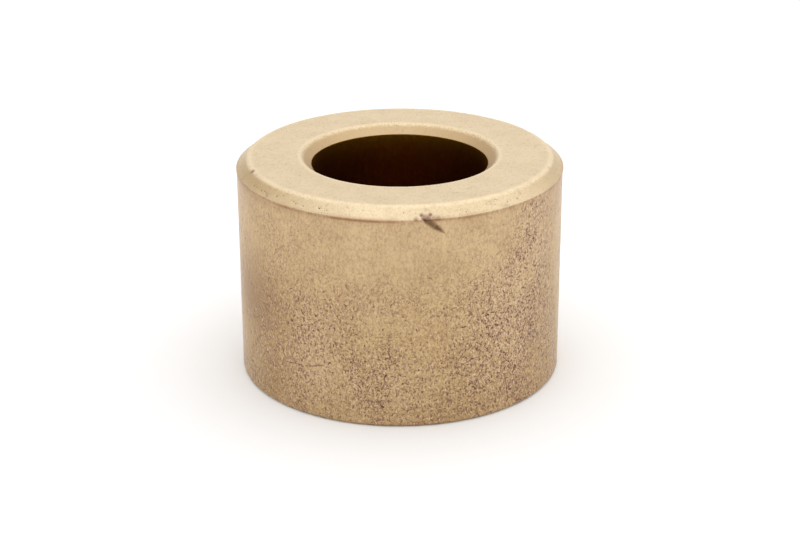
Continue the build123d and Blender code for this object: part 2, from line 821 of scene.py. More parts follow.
    def scatter(self, rows: np.ndarray) -> list[Pit]:
        """Throws the pores of every field, and keeps those that stand clear of each other.

        Args:
            rows: Path lengths of the rows of points, which the pores keep clear of.

        Returns:
            The pores.
        """
        rng = np.random.default_rng(self.seed)
        taken: dict[tuple[int, ...], list[tuple[Vector, float]]] = {}
        pits = []
        for spread in self.fields:
            first, last = self.section.span(spread.zone)
            across = np.linspace(first, last, 50)
            area = TAU * float(self.section.radius(across).mean()) * (last - first)
            for _ in range(int(area * spread.density)):
                x, s = rng.uniform(0, self.section.round), rng.uniform(first, last)
                reach = spread.small + (spread.large - spread.small) * rng.random() ** 2.2
                keep = rng.random()
                pit = self._pit(x, s, reach, spread, rng)
                nearest = np.abs(rows - np.mod(s, self.section.total)).min()
                if keep > self._crowd(x, s, spread) or nearest < pit.reach + self.row_clearance:
                    continue
                spot = Vector(self.section.spot(x, s))
                if self._is_clear(spot, pit.reach, taken):
                    raw = float(self.tarnish_and_light.raw(np.array([x]), np.array([s]))[0])
                    pit.dark = min(0.13 + 0.55 * raw, 1.0)
                    key = tuple(math.floor(c / self.cell) for c in spot)
                    taken.setdefault(key, []).append((spot, pit.reach))
                    pits.append(pit)
        return pits

    def _is_clear(self, spot: Vector, reach: float, taken: dict) -> bool:
        """Whether no pit that is already there comes near a new one.

        Args:
            spot: The new pit's middle.
            reach: Its radius.
            taken: The pits so far, by the cell that each lies in.

        Returns:
            True where there is room.
        """
        home = [math.floor(c / self.cell) for c in spot]
        for key in itertools.product(*(range(c - 1, c + 2) for c in home)):
            for other, size in taken.get(key, ()):
                if (other - spot).length < size + reach + self.apart:
                    return False
        return True

    def scratch_pits(self) -> list[Pit]:
        """The scratches and the chamfer's own pores, as pits."""
        pits = []
        for scratch in self.scratches:
            ends = [
                np.array([self.section.x_at(azimuth), self.section.path_at_height(height)])
                for azimuth, height in (scratch.start, scratch.end)
            ]
            long = float(np.linalg.norm(ends[1] - ends[0]))
            share = np.linspace(0, 1, max(3, int(long / self.scratch_step)))[:, None]
            line = ends[0] * (1 - share) + ends[1] * share
            wander = [noise.noise(Vector((p[0] * 0.9, p[1] * 0.9, 4.4))) for p in line]
            line[:, 1] += self.scratch_wander * np.array(wander)
            rim = self._groove_rim(line, scratch.half_width)
            reach = long / 2 + scratch.half_width
            pits.append(Pit(rim, line, scratch.depth, reach, self.scratch_dark))
        start = self.section.span(Zone.LEAD_IN)[0]
        for pore in self.chamfer_pores:
            spot = np.array([self.section.x_at(pore.azimuth), start + pore.past])
            rim = self._round_rim(np.zeros(2), pore.radius, 7) + spot
            pits.append(Pit(rim, spot[None, :], pore.radius, pore.radius, self.chamfer_pore_dark))
        return pits


@dataclass
class Relief:
    """What lifts or sinks the surface: the lip, the gouge in it, knocks and slow waves."""

    section: Section
    gouge: Gouge = Gouge()
    seed: int = 9
    lip_height: float = 0.055
    lip_below: float = 0.24
    lip_above: float = 0.1
    rim_knocks: int = 46
    lip_knocks: int = 24
    dents: tuple[Dent, ...] = (
        Dent(7.2, Zone.LEAD_IN, 0.4, 0.25, 0.05, 0.95),
        Dent(8.0, Zone.LEAD_IN, 0.26, 0.32, 0.05, 0.75),
        Dent(10.2, Zone.LEAD_IN, 0.42, 0.25, 0.055, 0.95),
        Dent(9.2, Zone.LEAD_IN, 0.14, 0.42, 0.05, 0.85),
        Dent(8.4, Zone.LEAD_IN, 0.04, 0.26, 0.03, 1.0),
        Dent(11.2, Zone.LEAD_IN, 0.16, 0.34, 0.045, 0.4),
        Dent(5.2, Zone.LEAD_IN, 0.05, 0.26, 0.05, 0.7),
        Dent(12.6, Zone.LEAD_IN, 0.08, 0.36, 0.04, 0.45),
        Dent(9.0, Zone.LEAD_IN, 0.85, 0.2, 0.03, 0.3),
        Dent(-70.9, Zone.LEAD_IN, 1.2, 0.34, 0.1, 1.0),
        Dent(-66.5, Zone.LEAD_IN, 1.22, 0.3, 0.03, 0.2),
        Dent(33.0, Zone.LEAD_IN, 0.7, 0.3, 0.03, 0.25),
        Dent(38.5, Zone.LEAD_IN, 0.12, 0.28, 0.04, 0.35),
        Dent(47.0, Zone.LEAD_IN, 1.1, 0.3, 0.03, 0.25),
        Dent(-52.0, Zone.LEAD_IN, 0.15, 0.25, 0.04, 0.4),
    )

    def _lip(self, x: np.ndarray, s: np.ndarray) -> np.ndarray:
        """The burr that the die's edge left round the foot of the lead-in chamfer.

        Args:
            x: Arc lengths round the outer wall.
            s: Path lengths along the section.

        Returns:
            The burr's height at each point.
        """
        past = s - self.section.lip_edge()
        below = np.exp(-((past / self.lip_below) ** 2)) * (past <= 0)
        above = np.exp(-((past / self.lip_above) ** 2)) * (past > 0)
        swell = 0.85 + 0.5 * ring_noise(x / self.section.outer_radius, 2.6, 0.3)
        return self.lip_height * (below + above) * swell

    def _wedge(self, x: np.ndarray, s: np.ndarray) -> tuple[np.ndarray, np.ndarray]:
        """The wedge knocked out of the lip, deepest at its wide upper end.

        Args:
            x: Arc lengths round the outer wall.
            s: Path lengths along the section.

        Returns:
            The depth of the wedge at each point, and how much darker it is there.
        """
        head, tip = [
            np.array([self.section.x_at(azimuth), self.section.path_at_height(height)])
            for azimuth, height in (self.gouge.head, self.gouge.tip)
        ]
        reach = float(np.linalg.norm(tip - head))
        run = (tip - head) / reach
        gap = np.stack([x, s], axis=-1) - head
        along, aside = gap @ run, gap @ np.array([-run[1], run[0]])
        share = np.clip(along / reach, -self.gouge.behind, 1.0)
        full = np.clip(share, 0.0, 1.0)
        half = self.gouge.half_width * (full + 0.08) ** 0.45 * (1.0 - full) ** 0.9 + 0.02
        half = np.where(share < 0, half * (1 + share / self.gouge.behind), half) + 1e-6
        body = np.clip(1.0 - np.abs(aside - self.gouge.lean) / half, 0.0, 1.0)
        body = smoothstep(body, 0.0, 0.75) * (along > -self.gouge.behind * reach) * (along < reach)
        patchy = [1.02 + 0.3 * noise.noise(Vector((a * 2.1, b * 2.1, 0.7))) for a, b in zip(x, s)]
        soil = np.clip(np.array(patchy) - 0.28 * full**2, 0.0, 1.0)
        return self.gouge.depth * (1.0 - 0.7 * full) * body, soil * body

    def lift(self, x: np.ndarray, s: np.ndarray) -> tuple[np.ndarray, np.ndarray]:
        """How far the marked surface stands off the plain one.

        Args:
            x: Arc lengths round the outer wall.
            s: Path lengths along the section.

        Returns:
            The lift at each point, and how much darker it is there.
        """
        flat = self.section.place(x, s, np.zeros(len(x)))
        uneven = [
            0.010 * noise.noise(Vector(p) * 0.35) + 0.005 * noise.noise(Vector(p) * 2.6)
            for p in flat
        ]
        depth, soil = self._wedge(x, s)
        lift = np.array(uneven) + self._lip(x, s) * (1.0 - np.minimum(depth / 0.08, 1.0)) - depth
        for dent in [*self.dents, *self._knocks()]:
            spot = self.section.spot(
                self.section.x_at(dent.azimuth), self.section.span(dent.zone)[0] + dent.past
            )
            near = 1.0 - np.linalg.norm(flat - spot, axis=1) / dent.size
            shape = smoothstep(near, 0.0, 0.8)
            lift -= dent.depth * shape
            soil = np.maximum(soil, dent.soil * shape)
        return lift, soil

    def _knocks(self) -> list[Dent]:
        """Small knocks along the rims of the lead-in, from handling in bulk."""
        rng = np.random.default_rng(self.seed)
        first, last = self.section.span(Zone.LEAD_IN)
        dents = []
        for _ in range(self.rim_knocks):
            past = rng.choice([0.0, last - first]) + rng.normal(0, 0.12)
            azimuth = rng.uniform(-180, 180)
            size, depth = rng.uniform(0.22, 0.6), rng.uniform(0.008, 0.03)
            dents.append(Dent(azimuth, Zone.LEAD_IN, past, size, depth, rng.uniform(0, 0.15)))
        for _ in range(self.lip_knocks):
            past = rng.uniform(0.0, 0.15)
            azimuth = rng.uniform(-180, 180)
            dents.append(Dent(azimuth, Zone.WALL, past, rng.uniform(0.2, 0.5), 0.02, 0.1))
        return dents


@dataclass
class Sleeve:
    """The bushing's one piece: a closed skin, triangulated on the chart and rolled up."""

    section: Section
    tarnish_and_light: TarnishAndPaintedLight
    pores: OpenPores
    relief: Relief
    columns: int = 360
    seed: int = 8
    wide_corner: float = 0.2
    beside_corner: float = 0.12
    rows_under_lip: tuple[float, ...] = (0.62, 0.42, 0.27, 0.15, 0.06)
    rows_over_lip: tuple[float, ...] = (0.09, 0.22)
    row_clearance: float = 0.1125
    pit_clearance: float = 0.1
    patch_clearance: float = 0.05
    scratch_clearance: float = 0.16
    patch: FinePatch = FinePatch()
    mesh_sizes: dict[Zone, float] = field(default_factory=lambda: {
        Zone.PLAIN_END: 0.55,
        Zone.CORNER_BREAK: 0.3,
        Zone.WALL: 0.38,
        Zone.LEAD_IN: 0.3,
        Zone.TOP_FACE: 0.36,
        Zone.MOUTH: 0.3,
        Zone.BORE: 0.75,
        Zone.LOWER_MOUTH: 0.4,
    })
    strips: tuple[Strip, ...] = (
        Strip(Zone.CORNER_BREAK, Zone.LEAD_IN),
        Strip(Zone.TOP_FACE, Zone.MOUTH),
        Strip(Zone.LOWER_MOUTH, Zone.PLAIN_END, density=0.45),
        Strip(Zone.BORE, Zone.BORE, density=0.66, turned=True),
    )
    sheet_side: float = 59.6
    sheet_gap: float = 0.45
    chart_margin: float = 1.6

    # -- laying out the chart -------------------------------------------------------------

    def _rows(self) -> list[tuple[float, np.ndarray]]:
        """The rows of points that hold the corners, as path length and x of each row."""
        rows = []
        even = np.arange(self.columns) * self.section.round / self.columns
        for index, (first, last) in enumerate(self.section.arcs):
            wide = last - first > self.wide_corner
            places = list(np.linspace(first, last, 5 if wide else 3))
            columns = even
            if index == Zone.WALL.value:
                places = [first - below for below in self.rows_under_lip] + places
                places += [last + above for above in self.rows_over_lip]
                columns = self._lip_columns(even)
            elif not wide:
                places = [first - self.beside_corner, *places, last + self.beside_corner]
            rows.extend((place, columns) for place in places)
        return rows

    def _lip_columns(self, even: np.ndarray) -> np.ndarray:
        """The columns of the rows at the lip.

        Args:
            even: The even columns.

        Returns:
            The same columns, with three more in each gap near the gouge.
        """
        pitch = even[1]
        middle = self.section.x_at(self.patch.column_azimuth)
        near = even[np.abs(even - middle) < self.patch.column_half_width]
        extra = [near + pitch * share for share in (0.25, 0.5, 0.75)]
        return np.sort(np.concatenate([even, *extra]))

    def _background(self, rng: np.random.Generator) -> tuple[np.ndarray, np.ndarray]:
        """Plain surface points, a jittered honeycomb at each zone's own mesh size.

        Args:
            rng: The source of the jitter.

        Returns:
            The points' x and s.
        """
        xs, ss = [], []
        for zone in Zone:
            size = self.mesh_sizes[zone]
            first, last = self.section.span(zone)
            count = max(1, round((last - first) / (size * ROW_PITCH)))
            for level in (np.arange(count) + 0.5) * (last - first) / count + first:
                around = TAU * float(self.section.radius(np.array(level)))
                number = round(around / size)
                step = self.section.round / number
                x = (np.arange(number) + rng.random()) * step
                x += rng.uniform(-0.22, 0.22, number) * step
                s = level + rng.uniform(-0.2, 0.2, number) * size
                xs.append(x)
                ss.append(np.clip(s, first, last))
        return np.concatenate(xs), np.concatenate(ss)

    def _fine_patch(self, rng: np.random.Generator) -> tuple[np.ndarray, np.ndarray]:
        """Close-set points round the gouge.

        Args:
            rng: The source of the jitter.

        Returns:
            The points' x and s.
        """
        patch = self.patch
        across = np.arange(-patch.half_width, patch.half_width, patch.pitch)
        x, s = np.meshgrid(across, np.arange(-patch.below, patch.above, patch.pitch))
        jitter = patch.jitter
        x = self.section.x_at(patch.azimuth) + x.ravel() + rng.uniform(-jitter, jitter, x.size)
        s = self.section.lip_edge() + s.ravel() + rng.uniform(-jitter, jitter, s.size)
        return x, s

    def _near_gouge(self, x: np.ndarray, s: np.ndarray) -> np.ndarray:
        """Which chart points lie in the room kept for the fine patch."""
        wide, high = self.patch.room
        aside = np.abs(x - self.section.x_at(self.patch.azimuth))
        return (aside < wide) & (np.abs(s - self.section.lip_edge() + self.patch.drop) < high)

    def _lay_points(self) -> Chart:
        """Lays rows, pits and plain points on the chart, each kept clear of the others."""
        rng = np.random.default_rng(self.seed)
        chart = Chart()
        rows = self._rows()
        for place, columns in rows:
            chart.add(columns, np.full(len(columns), place))
        levels = np.sort(np.array([place for place, _ in rows]))
        scratches = self.pores.scratch_pits()
        patch = self._fine_patch(rng)
        pits = [pit for pit in self.pores.scatter(levels) if self._off_marks(pit, scratches)]
        for pit in [*pits, *scratches]:
            chart.add(pit.rim[:, 0], pit.rim[:, 1])
            chart.add(pit.floor[:, 0], pit.floor[:, 1], pit.depth, pit.dark)
        x, s = self._background(rng)
        plain = ~self._near_gouge(x, s)
        beds = ((x[plain], s[plain], self.pit_clearance), (*patch, self.patch_clearance))
        for x, s, clearance in beds:
            keep = self._clear_of_rows(s, levels) & self._clear_of_pits(x, s, chart, clearance)
            chart.add(x[keep], s[keep])
        LOG.info("%d pores and %d scratches on the chart", len(pits), len(scratches))
        return chart

    def _off_marks(self, pit: Pit, scratches: list[Pit]) -> bool:
        """Whether a pore keeps off the scratches and the gouge.

        Args:
            pit: The pore.
            scratches: The scratches.

        Returns:
            True where it does.
        """
        middle = pit.floor.mean(axis=0)
        if self._near_gouge(middle[0], middle[1]):
            return False
        needed = pit.reach + self.scratch_clearance
        return all(np.linalg.norm(s.floor - middle, axis=1).min() >= needed for s in scratches)

    def _clear_of_rows(self, s: np.ndarray, rows: np.ndarray) -> np.ndarray:
        """Which path lengths keep their distance from every row."""
        gap = np.abs(np.mod(s, self.section.total)[:, None] - rows[None, :]).min(axis=1)
        return gap > self.row_clearance

    def _clear_of_pits(
        self, x: np.ndarray, s: np.ndarray, chart: Chart, clearance: float
    ) -> np.ndarray:
        """Which new points keep their distance from those already laid.

        Args:
            x: The new points' arc lengths round the outer wall.
            s: Their path lengths along the section.
            chart: The chart so far.
            clearance: The distance to keep.

        Returns:
            True for each point that stands clear.
        """
        laid_x, laid_s, _, _ = chart.joined()
        spots = self.section.place(laid_x, laid_s, np.zeros(len(laid_x)))
        tree = KDTree(len(spots))
        for index, spot in enumerate(spots):
            tree.insert(spot, index)
        tree.balance()
        wanted = self.section.place(x, s, np.zeros(len(x)))
        return np.array([tree.find(spot)[2] > clearance for spot in wanted])

    # -- mesh -------------------------------------------------------------------------------

    def _triangulate(self, x: np.ndarray, s: np.ndarray) -> tuple[np.ndarray, np.ndarray]:
        """Triangulates the chart, which joins up with itself both ways round.

        Args:
            x: Arc lengths round the outer wall.
            s: Path lengths along the section.

        Returns:
            The triangles as point numbers, and the chart position of each of their corners.
        """
        wide, high, margin = self.section.round, self.section.total, self.chart_margin
        copies_x, copies_s, numbers = [], [], []
        for shift_x, shift_s in itertools.product((-wide, 0.0, wide), (-high, 0.0, high)):
            moved_x, moved_s = x + shift_x, s + shift_s
            near = (
                (moved_x > -margin) & (moved_x < wide + margin)
                & (moved_s > -margin) & (moved_s < high + margin)
            )
            copies_x.append(moved_x[near])
            copies_s.append(moved_s[near])
            numbers.append(np.nonzero(near)[0])
        spots = np.stack([np.concatenate(copies_x), np.concatenate(copies_s)], axis=1)
        number = np.concatenate(numbers)
        made = delaunay_2d_cdt([Vector(p) for p in spots], [], [], 0, 1e-7, True)
        source = np.array([ids[0] for ids in made[3]])
        corners = source[np.array(made[2], dtype=int)]
        centre = spots[corners].mean(axis=1)
        inside = (
            (centre[:, 0] >= 0) & (centre[:, 0] < wide)
            & (centre[:, 1] >= 0) & (centre[:, 1] < high)
        )
        corners = corners[inside]
        return number[corners], spots[corners]

    def build(self) -> bpy.types.Object:
        """Makes the sleeve's mesh with its marks, charts and finishes."""
        chart = self._lay_points()
        x, s, sink, pore = chart.joined()
        x, s = np.mod(x, self.section.round), np.mod(s, self.section.total)
        triangles, spots = self._triangulate(x, s)
        self._check_closed(triangles)
        lift, soil = self.relief.lift(x, s)
        mesh = bpy.data.meshes.new("sleeve_skin")
        mesh.from_pydata(self.section.place(x, s, lift - sink) * MM, [], triangles)
        mesh.shade_smooth()
        kept = {
            "pore": pore,
            "soil": soil,
            "stain": self.tarnish_and_light.patches(x, s, self.tarnish_and_light.stains_and_painted_shade),
            "raw": self.tarnish_and_light.raw(x, s),
            "tone": self.tarnish_and_light.tone(x, s),
            "oil": self.tarnish_and_light.oil(x, s),
            "rub": self.tarnish_and_light.rub(x, s),
            "lip_shade": self.tarnish_and_light.lip_shade(x, s),
        }
        for name, values in kept.items():
            layer = mesh.attributes.new(name, "FLOAT", "POINT")
            layer.data.foreach_set("value", values.astype(np.float32))
        self._assign_finishes(mesh, spots)
        self._unwrap(mesh, spots)
        sleeve = bpy.data.objects.new("bronze_sleeve", mesh)
        bpy.context.scene.collection.objects.link(sleeve)
        return sleeve

    def _assign_finishes(self, mesh: bpy.types.Mesh, spots: np.ndarray) -> None:
        """Gives each triangle the finish of its zone.

        Args:
            mesh: The sleeve's mesh.
            spots: The chart positions of each triangle's corners.
        """
        zones = np.searchsorted(self.section.zone_limits(), spots[:, :, 1].mean(axis=1))
        skins = np.array([SKIN_OF_ZONE[zone].value for zone in Zone])
        mesh.polygons.foreach_set("material_index", skins[np.mod(zones, len(Zone))].astype(np.int32))

    def _unwrap(self, mesh: bpy.types.Mesh, spots: np.ndarray) -> None:
        """Lays the skin out in strips on one square sheet, the widest ones in two halves.

        Args:
            mesh: The sleeve's mesh.
            spots: The chart positions of each triangle's corners.
        """
        limits = self.section.zone_limits()
        middle = spots.mean(axis=1)
        zones = np.mod(np.searchsorted(limits, middle[:, 1]), len(Zone))
        uv = np.zeros_like(spots)
        half_round = self.section.round / 2
        level = side = self.sheet_gap
        for strip in self.strips:
            start = float(limits[strip.first.value - 1])
            end = float(limits[strip.last.value % len(limits)])
            height = (end - start) % self.section.total
            radius = float(self.section.radius(np.linspace(start, start + height, 60)).mean())
            squeeze = radius / self.section.outer_radius * strip.density
            span = (strip.last.value - strip.first.value) % len(Zone)
            mine = np.mod(zones - strip.first.value, len(Zone)) <= span
            across, up = spots[mine, :, 0], spots[mine, :, 1]
            turn = self.section.total * (middle[mine, 1] < start)
            up = (up + turn[:, None] - start) * strip.density
            if strip.turned:
                left = half_round + 2.5 * self.sheet_gap
                uv[mine] = np.stack([left + up, side + across * squeeze], axis=-1)
                continue
            second = (middle[mine, 0] > half_round)[:, None]
            across = (across - half_round * second) * squeeze
            step = height * strip.density + self.sheet_gap
            uv[mine] = np.stack([self.sheet_gap + across, level + up + step * second], axis=-1)
            level += 2 * step
        layer = mesh.uv_layers.new(name="OFBake")
        layer.data.foreach_set("uv", (uv / self.sheet_side).reshape(-1).astype(np.float32))
        LOG.info("texture sheet filled to %.3f by %.3f", *(uv.max(axis=(0, 1)) / self.sheet_side))

    def _check_closed(self, triangles: np.ndarray) -> None:
        """Stops the script if the skin isn't one closed surface.

        Args:
            triangles: The triangles as point numbers.
        """
        edges = np.sort(triangles[:, [0, 1, 1, 2, 2, 0]].reshape(-1, 2), axis=1)
        _, counts = np.unique(edges, axis=0, return_counts=True)
        if not (counts == 2).all():
            raise ValueError(f"the sleeve's skin has {int((counts != 2).sum())} open edges")
        LOG.info("closed skin of %d triangles", len(triangles))


class Bench:
    """Lays nodes into one tree and links them."""

    def __init__(self, tree: bpy.types.NodeTree) -> None:
        """Starts on an empty tree."""
        self.tree = tree

    def node(self, kind: str, **settings: object) -> bpy.types.Node:
        """Adds a node.

        Args:
            kind: The node's type.
            settings: Its properties.

        Returns:
            The node.
        """
        made = self.tree.nodes.new(kind)
        for name, value in settings.items():
            setattr(made, name, value)
        return made

    def feed(self, socket: Socket, value: object) -> None:
        """Links a socket into another, or sets a plain value on it.

        Args:
            socket: The input.
            value: What it gets.
        """
        if isinstance(value, bpy.types.NodeSocket):
            self.tree.links.new(value, socket)
        else:
            socket.default_value = value

    def math(
        self, operation: str, first: object, second: object = 0.0, clamp: bool = False
    ) -> Socket:
        """The result of one sum on two values.

        Args:
            operation: The kind of sum.
            first: A socket or a plain value.
            second: Another one.
            clamp: Whether the result is held between 0 and 1.

        Returns:
            The socket that gives the result.
        """
        made = self.node("ShaderNodeMath", operation=operation, use_clamp=clamp)
        self.feed(made.inputs[0], first)
        self.feed(made.inputs[1], second)
        return made.outputs[0]

    def blend(self, share: object, first: object, second: object) -> Socket:
        """A colour between two.

        Args:
            share: How much of the second colour there is.
            first: The colour at 0.
            second: The colour at 1.

        Returns:
            The socket that gives the colour.
        """
        made = self.node("ShaderNodeMix", data_type="RGBA")
        self.feed(made.inputs[0], share)
        self.feed(made.inputs[6], first)
        self.feed(made.inputs[7], second)
        return made.outputs[2]

    def ramp(
        self, value: object, low: object, high: object, start: float = 0.0, end: float = 1.0
    ) -> Socket:
        """A smooth ramp.

        Args:
            value: What is read.
            low: Where the ramp begins.
            high: Where it ends.
            start: What it gives at low.
            end: What it gives at high.

        Returns:
            The socket that gives the ramp.
        """
        made = self.node("ShaderNodeMapRange", interpolation_type="SMOOTHSTEP")
        for socket, given in zip(made.inputs, (value, low, high, start, end)):
            self.feed(socket, given)
        return made.outputs[0]

    def noise(self, place: Socket, scale: object, detail: float, rough: float) -> Socket:
        """A noise value at a place.

        Args:
            place: Where it is read.
            scale: How fine it is.
            detail: How many finer layers it has.
            rough: How strong those layers are.

        Returns:
            The socket that gives the value.
        """
        made = self.node("ShaderNodeTexNoise")
        self.feed(made.inputs["Vector"], place)
        self.feed(made.inputs["Scale"], scale)
        self.feed(made.inputs["Detail"], detail)
        self.feed(made.inputs["Roughness"], rough)
        return made.outputs[0]

    def stretch(self, place: Socket, factors: object) -> Socket:
        """A place scaled along each axis.

        Args:
            place: The place.
            factors: The three factors, as a socket or as plain values.

        Returns:
            The socket that gives the scaled place.
        """
        made = self.node("ShaderNodeVectorMath", operation="MULTIPLY")
        self.feed(made.inputs[0], place)
        self.feed(made.inputs[1], factors)
        return made.outputs[0]

    def attribute(self, name: str) -> Socket:
        """The value that the mesh keeps under a name."""
        return self.node("ShaderNodeAttribute", attribute_name=name).outputs["Fac"]

    def effect(self, group: bpy.types.NodeTree, **inputs: object) -> dict[str, Socket]:
        """Places a shared effect.

        Args:
            group: The effect's node group.
            inputs: What its named inputs are fed.

        Returns:
            Its outputs by name.
        """
        made = self.node("ShaderNodeGroup", node_tree=group)
        for name, value in inputs.items():
            self.feed(made.inputs[name.replace("_", " ")], value)
        return {socket.name: socket for socket in made.outputs}


class Effects:
    """The surface effects that the finishes share, each a node group built once."""

    def __init__(self) -> None:
        """Builds every group."""
        self.grain = self._grain()
        self.pinholes = self._pinholes()
        self.streaks = self._streaks()
        self.clouds = self._clouds()
        self.worms = self._worms()

    def _group(
        self, name: str, inputs: dict[str, float], outputs: tuple[str, ...]
    ) -> tuple[Bench, dict[str, Socket], bpy.types.Node]:
        """Starts a group that works on a place in millimetres.

        Args:
            name: The group's name.
            inputs: Its number inputs and their usual values.
            outputs: Its value outputs.

        Returns:
            Its bench, its inputs by name, and the node that its outputs go to.
        """
        tree = bpy.data.node_groups.new(name, "ShaderNodeTree")
        tree.interface.new_socket(name="Place", in_out="INPUT", socket_type="NodeSocketVector")
        for label, value in inputs.items():
            made = tree.interface.new_socket(name=label, in_out="INPUT", socket_type="NodeSocketFloat")
            made.default_value = value
        for label in outputs:
            tree.interface.new_socket(name=label, in_out="OUTPUT", socket_type="NodeSocketFloat")
        bench = Bench(tree)
        entry, leave = bench.node("NodeGroupInput"), bench.node("NodeGroupOutput")
        return bench, {socket.name: socket for socket in entry.outputs}, leave

    def _upright_place(self, bench: Bench, place: Socket, fine: object, run: Socket) -> Socket:
        """A place scaled so that what is read there is longer along the sleeve.

        Args:
            bench: The group's bench.
            place: The place in millimetres.
            fine: The factor across the sleeve.
            run: How much longer things are along the sleeve.

        Returns:
            The socket that gives the scaled place.
        """
        squash = bench.node("ShaderNodeCombineXYZ")
        bench.feed(squash.inputs[0], fine)
        bench.feed(squash.inputs[1], fine)
        bench.feed(squash.inputs[2], bench.math("DIVIDE", fine, run))
        return bench.stretch(place, squash.outputs[0])

    def _grain(self) -> bpy.types.NodeTree:
        """The fine value of sintered powder grain."""
        bench, given, leave = self._group(
            "sintered_grain", {"Size": 0.2, "Upright": 1.6}, ("Grain",)
        )
        place = self._upright_place(bench, given["Place"], 1.0, given["Upright"])
        fine = bench.math("DIVIDE", 1.0, given["Size"])
        bench.feed(leave.inputs["Grain"], bench.noise(place, fine, 3.0, 0.62))
        return bench.tree

    def _pinholes(self) -> bpy.types.NodeTree:
        """Pores too fine to model: dark dots, in some of the cells only."""
        bench, given, leave = self._group(
            "pinholes", {"Spacing": 0.25, "Radius": 0.16, "Share": 0.5}, ("Mask",)
        )
        cells = bench.node("ShaderNodeTexVoronoi", feature="F1")
        bench.feed(cells.inputs["Vector"], given["Place"])
        bench.feed(cells.inputs["Scale"], bench.math("DIVIDE", 1.0, given["Spacing"]))
        pick = bench.node("ShaderNodeSeparateColor")
        bench.feed(pick.inputs[0], cells.outputs["Color"])
        chosen = bench.math("LESS_THAN", pick.outputs[0], given["Share"])
        reach = bench.math("MULTIPLY", given["Radius"], bench.math("ADD", pick.outputs[1], 0.5))
        inner = bench.math("MULTIPLY", reach, 0.45)
        dot = bench.ramp(cells.outputs["Distance"], inner, reach, 1.0, 0.0)
        bench.feed(leave.inputs["Mask"], bench.math("MULTIPLY", dot, chosen))
        return bench.tree

    def _streaks(self) -> bpy.types.NodeTree:
        """Fine lines that the die drew along the sleeve."""
        bench, given, leave = self._group("drawn_streaks", {"Width": 0.3, "Run": 9.0}, ("Streaks",))
        fine = bench.math("DIVIDE", 1.0, given["Width"])
        place = self._upright_place(bench, given["Place"], fine, given["Run"])
        streaks = bench.ramp(bench.noise(place, 1.0, 3.0, 0.6), 0.3, 0.7)
        bench.feed(leave.inputs["Streaks"], streaks)
        return bench.tree

    def _worms(self) -> bpy.types.NodeTree:
        """Short crooked marks between the particles."""
        bench, given, leave = self._group(
            "worm_marks",
            {"Pitch": 0.27, "Width": 0.075, "Upright": 1.3, "Cover": 0.47},
            ("Marks",),
        )
        fine = bench.math("DIVIDE", 1.0, given["Pitch"])
        place = self._upright_place(bench, given["Place"], fine, given["Upright"])
        value = bench.noise(place, 1.0, 1.0, 0.55)
        gap = bench.math("ABSOLUTE", bench.math("SUBTRACT", value, 0.5))
        near = bench.math("MULTIPLY", given["Width"], 0.35)
        line = bench.ramp(gap, near, given["Width"], 1.0, 0.0)
        gate = bench.noise(place, 1.35, 0.0, 0.5)
        open_end = bench.math("ADD", given["Cover"], 0.1)
        marks = bench.math("MULTIPLY", line, bench.ramp(gate, given["Cover"], open_end))
        bench.feed(leave.inputs["Marks"], marks)
        return bench.tree

    def _clouds(self) -> bpy.types.NodeTree:
        """Broad soft patches of tarnish and oil."""
        bench, given, leave = self._group("tarnish_clouds", {"Size": 4.0, "Edge": 0.14}, ("Cloud",))
        value = bench.noise(given["Place"], bench.math("DIVIDE", 1.0, given["Size"]), 4.0, 0.58)
        low = bench.math("SUBTRACT", 0.5, given["Edge"])
        high = bench.math("ADD", 0.5, given["Edge"])
        bench.feed(leave.inputs["Cloud"], bench.ramp(value, low, high))
        return bench.tree


